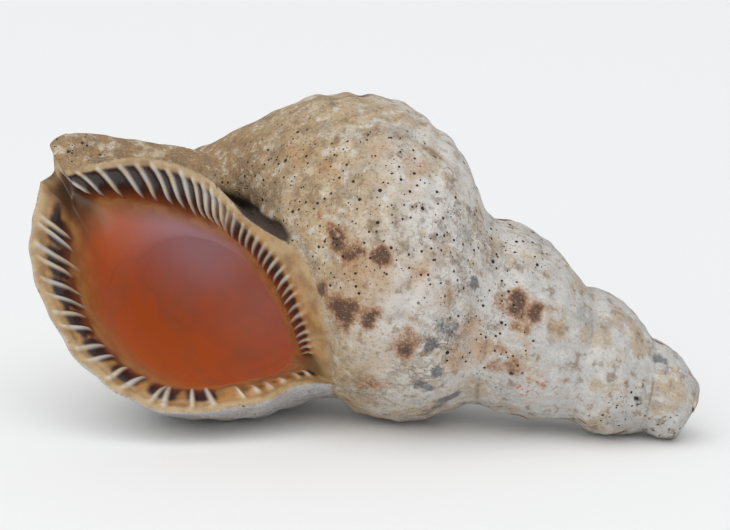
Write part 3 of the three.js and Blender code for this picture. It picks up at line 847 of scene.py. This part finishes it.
# %% The glazed mouth
deep = attribute("deep")
teeth = step(attribute("tooth"), 0.12, 0.9)
shade = noise(here, 42, 3, seed=2)
streaks = noise(here, 150, 4, seed=4)
throat = mix(step(deep, 0.14, 0.42), srgb(172, 110, 54), srgb(190, 93, 40))
throat = mix(step(deep, 0.6, 1.6), throat, srgb(186, 106, 58))
throat = lay_over(throat, step(shade, 0.45, 0.65), 0.5, srgb(160, 98, 64))
veins = step(calc("ABSOLUTE", calc("SUBTRACT", noise(here, 26, 2, 0.5, seed=21), 0.5)), 0.06, 0.0)
throat = lay_over(throat, veins, 0.12, srgb(112, 70, 62))
# Painted reflection: a mauve cloud laid over the throat's orange.
throat = lay_over(throat, attribute("painted_reflection"), 0.95, srgb(184, 162, 176))
rim_colour = mix(step(streaks, 0.4, 0.65), srgb(180, 153, 112), srgb(152, 119, 79))
golden = mix(step(streaks, 0.4, 0.65), srgb(176, 128, 74), srgb(146, 98, 52))
rim_edge = calc("ADD", deep, calc("MULTIPLY", calc("SUBTRACT", shade, 0.5), 0.07))
mouth_colour = mix(step(rim_edge, 0.025, 0.07), rim_colour, golden)
mouth_colour = mix(step(rim_edge, 0.16, 0.4), mouth_colour, throat)
mouth_colour = mix(attribute("plate"), mouth_colour, mix(step(shade, 0.35, 0.65), rim_colour, golden))
brown_edge = calc("ADD", deep, calc("MULTIPLY", shade, 0.1))
brown = mix(step(brown_edge, 0.16, 0.26), srgb(44, 29, 27), srgb(120, 66, 34))
stained = calc("MULTIPLY", attribute("dark"), calc("ADD", calc("MULTIPLY", streaks, 0.9), 0.55))
mouth_colour = mix(step(stained, 0.08, 0.8), mouth_colour, brown)
mouth_colour = lay_over(mouth_colour, attribute("channel"), 0.9, srgb(70, 47, 34))
# Painted shade: the groove at the back corner of the mouth is painted darker brown.
mouth_colour = lay_over(mouth_colour, attribute("gutter_shade"), 0.75, srgb(120, 98, 72))
enamel = mix(step(streaks, 0.42, 0.6), srgb(190, 186, 180), srgb(198, 180, 150))
mouth_colour = lay_over(mouth_colour, teeth, 0.95, enamel)

# %% [markdown]
# Outside and mouth come together by the `inside` mask: chalk is rough and bumpy, the glaze is smooth under a
# thin coat. A faint orange glow in the throat is painted light that lifts its shade, stronger further in.

# %% The whole material
inside = attribute("inside")
chalk = calc("SUBTRACT", 1.0, inside)
put(shader.inputs["Base Color"], mix(inside, outer_colour, mouth_colour))
chalk_rough = calc("ADD", calc("MULTIPLY", grain, 0.2), 0.36)
put(shader.inputs["Roughness"], calc("ADD", calc("MULTIPLY", chalk, chalk_rough), 0.34))
put(shader.inputs["Coat Weight"], calc("MULTIPLY", inside, 0.22))
shader.inputs["Coat Roughness"].default_value = 0.1
rough_height = calc("ADD", calc("MULTIPLY", grain, 0.3), calc("MULTIPLY", mottle, 0.9))
rough_height = calc("SUBTRACT", rough_height, calc("MULTIPLY", crumb, 1.6))
height = calc("MULTIPLY", calc("SUBTRACT", rough_height, calc("MULTIPLY", holes, 1.2)), chalk)
bump = tree.nodes.new("ShaderNodeBump")
bump.inputs["Strength"].default_value = 0.85
bump.inputs["Distance"].default_value = 0.0008
put(bump.inputs["Height"], height)
put(shader.inputs["Normal"], bump.outputs["Normal"])
# Painted light: the throat glows faintly orange from depth 14 on, stronger further in.
painted_glow_gain = calc("ADD", calc("MULTIPLY", step(deep, 0.5, 1.3), 0.25), 0.75)
painted_glow = calc("MULTIPLY", step(deep, 0.14, 0.5), painted_glow_gain)
put(shader.inputs["Emission Color"], mix(calc("MULTIPLY", inside, painted_glow), (0, 0, 0, 1), throat))
shader.inputs["Emission Strength"].default_value = 0.2
mesh.materials.append(material)

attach(shell, "root")
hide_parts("shell")
print("nodes in the material:", len(tree.nodes))

# %% [markdown]
# ## Studio
# A pale floor, a wide soft sun above on the left, a weak light in front and an even sky give the
# photo's even light.

# %% Floor and light
floor_mesh = bpy.data.meshes.new("floor")
floor_mesh.from_pydata([(-4, -4, 0), (4, -4, 0), (4, 4, 0), (-4, 4, 0)], [], [(0, 1, 2, 3)])
floor = bpy.data.objects.new("floor", floor_mesh)
bpy.context.collection.objects.link(floor)
floor_paint = bpy.data.materials.new("floor")
floor_paint.use_nodes = True
floor_paint.node_tree.nodes["Principled BSDF"].inputs["Base Color"].default_value = (0.9, 0.9, 0.9, 1)
floor_paint.node_tree.nodes["Principled BSDF"].inputs["Roughness"].default_value = 0.9
floor_mesh.materials.append(floor_paint)

world = bpy.data.worlds.new("sky")
world.use_nodes = True
world.node_tree.nodes["Background"].inputs["Color"].default_value = (0.97, 0.985, 1, 1)
world.node_tree.nodes["Background"].inputs["Strength"].default_value = 0.6
bpy.context.scene.world = world


def aim(lamp, place_at, goal):
    """Puts a light at a place and turns it to look at a goal."""
    z = unit(np.array(place_at, float) - np.array(goal, float))
    x = unit(np.cross([0, 0, 1], z))
    axes = Matrix([[*row] for row in np.stack([x, np.cross(z, x), z], -1)])
    lamp.matrix_world = Matrix.Translation(place_at) @ axes.to_4x4()
    bpy.context.collection.objects.link(lamp)


day = bpy.data.lights.new("day", "SUN")
day.energy = 1.35
day.angle = 70 * DEG
aim(bpy.data.objects.new("day", day), (-0.3, -0.5, 1.2), (0, 0, 0))
front = bpy.data.lights.new("front", "AREA")
front.size = 0.9
front.energy = 3
aim(bpy.data.objects.new("front", front), (-0.5, -1.3, 0.45), (-0.05, 0, 0.06))

# %% [markdown]
# The camera is placed in the shell's own frame and laid down with it, so that the view stays the photo's.

# %% Camera
VIEW_DROP = 23.6 * DEG
EYE = np.array([-0.2, -900.0, -194.7])
right = np.array([-np.sin(VIEW_DROP), 0, np.cos(VIEW_DROP)])
upward = np.array([-np.cos(VIEW_DROP), 0, -np.sin(VIEW_DROP)])
camera_data = bpy.data.cameras.new("camera")
camera_data.sensor_width = 36
camera_data.lens = 109.6
camera = bpy.data.objects.new("camera", camera_data)
axes = np.stack([lay @ right, lay @ upward, lay @ np.cross(right, upward)], -1)
turned = Matrix([[*row] for row in axes]).to_4x4()
camera.matrix_world = Matrix.Translation((lay @ EYE + shift) * MM) @ turned
bpy.context.collection.objects.link(camera)
bpy.context.scene.camera = camera
bpy.context.scene.view_settings.view_transform = "Standard"
